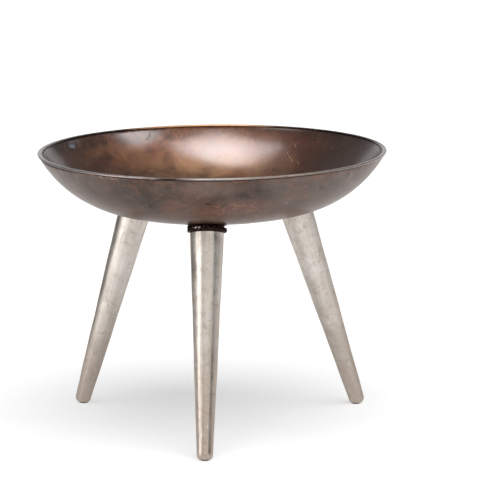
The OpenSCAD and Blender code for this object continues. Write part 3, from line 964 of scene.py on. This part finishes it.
def build_weld(side, seed):
    """A hand-laid weld: overlapping blobs round the top of the leg, a neck, and a thin flare onto the bowl."""
    segs = 336
    rng = np.random.default_rng(40 + seed)
    M = leg_matrix(AZ[side])
    lump_r = bumps(rng, 30, 0.0016, 0.15)
    lump_z = bumps(rng, 26, 0.0015, 0.14)
    r1 = WELD_D / 2
    base_z = LEG_L + 0.0001
    rows = []
    off = Vector((seed * 3.7, seed * 1.9, 0.0))
    for s in range(segs):
        phi = 2 * math.pi * s / segs
        # the weld was laid in short runs, so the bead swells and pinches about every 7 mm
        run = abs(math.sin(phi * 14 + 0.8 * math.sin(phi * 5 + seed)))
        lr = float(lump_r(phi)) + 0.0007 * (run - 0.5)
        lz = float(lump_z(phi))
        # two heavy end lumps, left and right as seen from outside
        for c in (0.97, -1.03):
            dd = (phi - (math.pi / 2 + c * 0 + (0 if c > 0 else math.pi)) + math.pi) % (2 * math.pi) - math.pi
            lr += 0.0012 * math.exp(-(dd / 0.20) ** 2)
            lz -= 0.0012 * math.exp(-(dd / 0.22) ** 2)
        bead_r = 0.0033 + 0.45 * lr
        bc_r = r1 - bead_r - 0.0020 + min(0.0, lr * 0.5)
        bc_z = base_z + bead_r + 0.0003 + 0.35 * max(0.0, lz)
        pts = [(0.0262, base_z + 0.0012)]
        for k in range(0, 21):
            a = math.radians(-115 + k * 9.5)
            pts.append((bc_r + bead_r * math.cos(a), bc_z + bead_r * math.sin(a)))
        neck_r = min(pts[-1][0], r1 - 0.0058 + 0.25 * lr)
        sb_neck = bowl_height_along(M, neck_r, phi)
        fl_r = r1 + 0.0018 + 0.8 * abs(lr)
        top_bead = pts[-1]
        for k in range(1, 9):
            t = k / 8
            rr = top_bead[0] + (neck_r - top_bead[0]) * math.sin(t * math.pi / 2)
            zz = top_bead[1] + (min(sb_neck - 0.0030, top_bead[1] + 0.005) - top_bead[1]) * t
            zz = max(zz, top_bead[1]) if sb_neck > top_bead[1] else sb_neck - 0.0005
            pts.append((rr, min(zz, bowl_height_along(M, rr, phi) - 0.0004)))
        last = pts[-1]
        for k in range(1, 10):
            t = k / 9
            rr = last[0] + (fl_r - last[0]) * (t ** 1.6)
            sb = bowl_height_along(M, rr, phi)
            zz = last[1] + (sb - last[1]) * math.sin(t * math.pi / 2)
            pts.append((rr, min(zz, sb - 0.0003 * (1 - t))))
        pts.append((fl_r - 0.001, bowl_height_along(M, fl_r - 0.001, phi) + 0.0012))
        pts.append((0.0262, bowl_height_along(M, 0.0262, phi) + 0.0012))
        row = []
        for j, (r, z) in enumerate(pts):
            p = Vector((r * math.cos(phi), r * math.sin(phi), z))
            if 2 <= j < len(pts) - 4:
                # spatter and ripple in the metal itself
                q = p + off
                k = noise.noise(q * 150.0) * 0.00110 + noise.noise(q * 420.0) * 0.00055
                k += 0.0006 * max(0.0, noise.noise(q * 330.0 + Vector((9, 2, 4))) - 0.15)
                out = Vector((math.cos(phi), math.sin(phi), -0.45 if j < 14 else 0.0)).normalized()
                p += out * k
                p.z = max(p.z, base_z - 0.0016)
                lim = r1 + 0.0004
                rad = math.hypot(p.x, p.y)
                if j < 22 and rad > lim:
                    p.x *= lim / rad
                    p.y *= lim / rad
            row.append(tuple(p))
        rows.append(row)
    n = len(rows[0])
    verts = [M @ Vector(v) for row in rows for v in row]
    faces = []
    for i in range(segs):
        j = (i + 1) % segs
        for k in range(n):
            l = (k + 1) % n
            faces.append((i * n + k, j * n + k, j * n + l, i * n + l))
    soup = Soup()
    soup.add(verts, faces)
    drops = []
    for d in range(46):
        phi = 2 * math.pi * (d + rng.uniform(-0.4, 0.4)) / 46
        size = rng.uniform(0.0014, 0.0031)
        z = base_z + size * 0.95 + (0.0050 * rng.uniform(0.1, 1.0) if d % 2 else 0.0)
        drops.append((phi, size, r1 - size * rng.uniform(1.10, 1.45) - 0.0002, z))
    # heavy ends, left and right as seen from outside
    drops += [(-1.62, 0.0037, r1 - 0.0043, base_z + 0.0048), (-1.50, 0.0030, r1 - 0.0038, base_z + 0.0088),
              (1.50, 0.0034, r1 - 0.0040, base_z + 0.0036), (-1.30, 0.0028, r1 - 0.0036, base_z + 0.0030)]
    for d, (phi, size, r, z) in enumerate(drops):
        z = min(z, bowl_height_along(M, r, phi) - size * 0.4)
        c = M @ Vector((r * math.cos(phi), r * math.sin(phi), z))
        soup.blob(c, (size, size * rng.uniform(0.9, 1.1), size * rng.uniform(0.75, 0.95)), seed * 9.0 + d, 0.16)
    ob = make_object("weld_%s_bead" % side, soup.v, soup.f, [weld_metal(seed, M)], "fire_bowl")
    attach(ob, "fire_bowl")
    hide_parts("weld_bead_%s" % side)
    return ob


for i, side in enumerate(AZ):
    build_weld(side, i + 1)


# ------------------------------------------------------------------ grate
def grate_metal():
    N = Nodes("grate_fired_steel")
    P = N.coords()
    big = N.noise(P, 14.0, 4, 0.6, 0.4)
    mid = N.noise(P, 70.0, 5, 0.62, 0.3)
    fine = N.noise(P, 380.0, 3, 0.6)
    base = N.colors(N.math("ADD", N.math("MULTIPLY", big, 0.45), N.math("MULTIPLY", mid, 0.55)),
                    [(0.36, (0.018, 0.015, 0.014)), (0.50, (0.040, 0.031, 0.027)), (0.64, (0.085, 0.060, 0.048))])
    rust = N.math("MULTIPLY", N.ramp(mid, 0.52, 0.66), N.ramp(N.noise(P, 24.0, 3), 0.46, 0.62))
    base = N.mix(N.math("MULTIPLY", rust, 0.7), base, (0.170, 0.066, 0.030))
    # the tops of the bars are scuffed by logs and pokers
    x, y, z = N.sep(P)
    scuff = N.math("MULTIPLY", N.ramp(z, GRATE_TOP - 0.0016, GRATE_TOP - 0.0002), N.ramp(fine, 0.42, 0.60))
    base = N.mix(N.math("MULTIPLY", scuff, 0.5), base, (0.20, 0.175, 0.155))
    ash = N.math("MULTIPLY", N.ramp(N.noise(P, 130.0, 4, 0.7), 0.60, 0.74), 0.35)
    base = N.mix(ash, base, (0.22, 0.20, 0.185))
    rough = N.ramp(fine, 0.3, 0.7, 0.40, 0.64, False)
    h = N.math("ADD", N.math("MULTIPLY", mid, 0.6), N.math("MULTIPLY", fine, 0.35))
    N.set(Base_Color=base, Metallic=0.8, Roughness=rough, Normal=N.bump(h, 0.5, 0.0009))
    return N.mat


GRATE = grate_metal()


def build_grate():
    ring = Soup()
    n, m = 288, 24
    verts = []
    for i in range(n):
        t = 2 * math.pi * i / n
        # butt weld where the ring's ends meet, and a slightly uneven forging
        seam = math.exp(-((((t - 2.2) + math.pi) % (2 * math.pi) - math.pi) / 0.018) ** 2)
        for j in range(m):
            a = 2 * math.pi * j / m
            q = Vector((math.cos(t), math.sin(t), 0))
            p = q * GRATE_R + Vector((0, 0, BAR_Z))
            w = ROD_R - 0.00012 + 0.00010 * noise.noise((p + q * 0.02 * math.cos(a)) * 55.0)
            w = min(ROD_R, w)
            if math.cos(a) < 0.2 and math.sin(a) < 0.5:
                w += 0.0009 * seam
            verts.append(p + q * w * math.cos(a) + Vector((0, 0, w * math.sin(a))))
    ring.add(verts, torus_faces(n, m))
    for i in range(-BARS_EACH_SIDE, BARS_EACH_SIDE + 1):
        x = i * BAR_PITCH
        y = math.sqrt((GRATE_R - ROD_R) ** 2 - x * x)
        for sgn in (1, -1):
            for e in (1, -1):
                ring.blob((x + e * 0.0032, sgn * (y - 0.0010), BAR_Z - 0.0006), (0.0030, 0.0034, 0.0030),
                          i * 3.1 + sgn + e, 0.30, GRATE_TOP - 0.0006)
    ring.make("grate_outer_ring", GRATE, "grate", "grate_steel", "grate_ring")

    bars = Soup()
    for i in range(-BARS_EACH_SIDE, BARS_EACH_SIDE + 1):
        x = i * BAR_PITCH
        y = math.sqrt((GRATE_R - 0.0010) ** 2 - x * x) - 0.0012
        bars.rod((x, -y, BAR_Z), (x, y, BAR_Z), ROD_R, i * 1.7)
    bars.make("grate_log_bars", GRATE, "grate", "grate_steel", "grate_bars")

    cross = Soup()
    half = math.sqrt(GRATE_R ** 2 - CROSS_Y ** 2) + 0.0008
    for k, yc in enumerate((-CROSS_Y, CROSS_Y)):
        cross.rod((-half, yc, CROSS_Z), (half, yc, CROSS_Z), ROD_R, 20 + k)
        for i in range(-BARS_EACH_SIDE, BARS_EACH_SIDE + 1):
            if abs(i) * BAR_PITCH > half - 0.004:
                continue
            for e in (1, -1):
                cross.blob((i * BAR_PITCH + e * 0.0026, yc + e * 0.0024, CROSS_Z + 0.0040), (0.0027, 0.0029, 0.0022),
                           i * 2.3 + k + e * 0.4, 0.30)
    cross.make("grate_carrying_bars", GRATE, "grate", "grate_steel", "grate_cross_bars")

    feet = Soup()
    lo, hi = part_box("grate_feet")
    for k, (sx, sy) in enumerate(((1, 1), (1, -1), (-1, 1), (-1, -1))):
        cx, cy = sx * GRATE_FOOT_X, sy * CROSS_Y
        top = CROSS_Z + 0.0006
        prof = [(0.0024, 0.0), (0.0042, 0.00025), (0.0050, 0.0009), (GRATE_FOOT_R, 0.0019), (GRATE_FOOT_R, 0.0045)]
        prof += [(GRATE_FOOT_R - 0.0004 * t, 0.0045 + (top - lo.z - 0.0065) * t) for t in (0.25, 0.5, 0.75, 1.0)]
        prof += [(GRATE_FOOT_R - 0.0012, top - lo.z - 0.0006), (0.0028, top - lo.z)]
        segs = 40
        verts = [Vector((cx, cy, lo.z))]
        for r, h in prof:
            for j in range(segs):
                t = 2 * math.pi * j / segs
                verts.append(Vector((cx + r * math.cos(t), cy + r * math.sin(t), lo.z + h)))
        verts.append(Vector((cx, cy, top)))
        feet.add(verts, [f[::-1] for f in lathe(len(prof), segs)])
        for t in range(5):
            a = 2 * math.pi * t / 5 + k
            feet.blob((cx + 0.0048 * math.cos(a), cy + 0.0040 * math.sin(a), top - 0.0028), (0.0022, 0.0022, 0.0026), k * 5 + t, 0.3)
    feet.make("grate_foot_posts", GRATE, "grate", "grate_steel", "grate_feet")


build_grate()


# ------------------------------------------------------------------ foot pads
def pad_rubber():
    N = Nodes("pad_dark_rubber")
    P = N.coords()
    mid = N.noise(P, 260.0, 4, 0.6)
    fine = N.noise(P, 1400.0, 2, 0.6)
    base = N.colors(mid, [(0.38, (0.012, 0.010, 0.010)), (0.55, (0.024, 0.020, 0.019)), (0.72, (0.060, 0.052, 0.047))])
    N.set(Base_Color=base, Roughness=N.ramp(fine, 0.3, 0.7, 0.62, 0.82, False),
          Normal=N.bump(N.math("ADD", mid, N.math("MULTIPLY", fine, 0.4)), 0.35, 0.0004), Specular_IOR_Level=0.35)
    return N.mat


PAD = pad_rubber()
for side in AZ:
    lo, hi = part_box("foot_pad_%s" % side)
    cx, cy = (lo.x + hi.x) / 2, (lo.y + hi.y) / 2
    R = PAD_D / 2
    sh = hi.z
    # a moulded pad: ribbed underside, round edge, and a barbed stem
    prof = [(0.0012, 0.00035), (0.0030, 0.00035), (0.0034, 0.0), (0.0042, 0.0), (0.0046, 0.00035), (0.0054, 0.00035),
            (0.0058, 0.0), (R - 0.0006, 0.0), (R - 0.0002, 0.00025), (R, 0.0007), (R, 0.0013), (R - 0.0002, 0.00175),
            (R - 0.0006, PAD_T), (0.0026, PAD_T), (0.0024, 0.0030), (0.0025, 0.0045), (0.0022, 0.0047), (0.0025, 0.0062),
            (0.0022, 0.0064), (0.0025, 0.0079), (0.0022, 0.0081), (0.0024, sh - 0.0012), (0.0016, sh - 0.0002)]
    segs = 64
    verts = [(cx, cy, 0.00035)]
    for r, h in prof:
        for j in range(segs):
            t = 2 * math.pi * j / segs
            verts.append((cx + r * math.cos(t), cy + r * math.sin(t), h))
    verts.append((cx, cy, sh))
    pad = make_object("foot_pad_%s_moulding" % side, verts, [f[::-1] for f in lathe(len(prof), segs)], [PAD], "fire_bowl")
    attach(pad, "fire_bowl")
    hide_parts("foot_pad_%s" % side)


# ------------------------------------------------------------------ bosses and studs keep their CAD shapes
def stud_metal():
    N = Nodes("stud_plated_steel")
    P = N.coords()
    mid = N.noise(P, 190.0, 4, 0.6)
    fine = N.noise(P, 900.0, 3, 0.6)
    base = N.colors(mid, [(0.36, (0.30, 0.30, 0.295)), (0.55, (0.46, 0.455, 0.44)), (0.72, (0.58, 0.56, 0.50))])
    oil = N.ramp(N.noise(P, 85.0, 3), 0.54, 0.70)
    base = N.mix(N.math("MULTIPLY", oil, 0.4), base, (0.16, 0.13, 0.10))
    N.set(Base_Color=base, Metallic=1.0, Roughness=N.ramp(fine, 0.3, 0.7, 0.24, 0.40, False),
          Normal=N.bump(fine, 0.2, 0.0003))
    return N.mat


def paint(node, mat):
    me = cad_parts[node].data
    if len(me.materials) == 0:
        me.materials.append(mat)
    for i in range(len(me.materials)):
        me.materials[i] = mat


STUD = stud_metal()
for i, side in enumerate(AZ):
    paint("boss_%s" % side, weld_metal(11 + i))
    paint("stud_%s" % side, STUD)
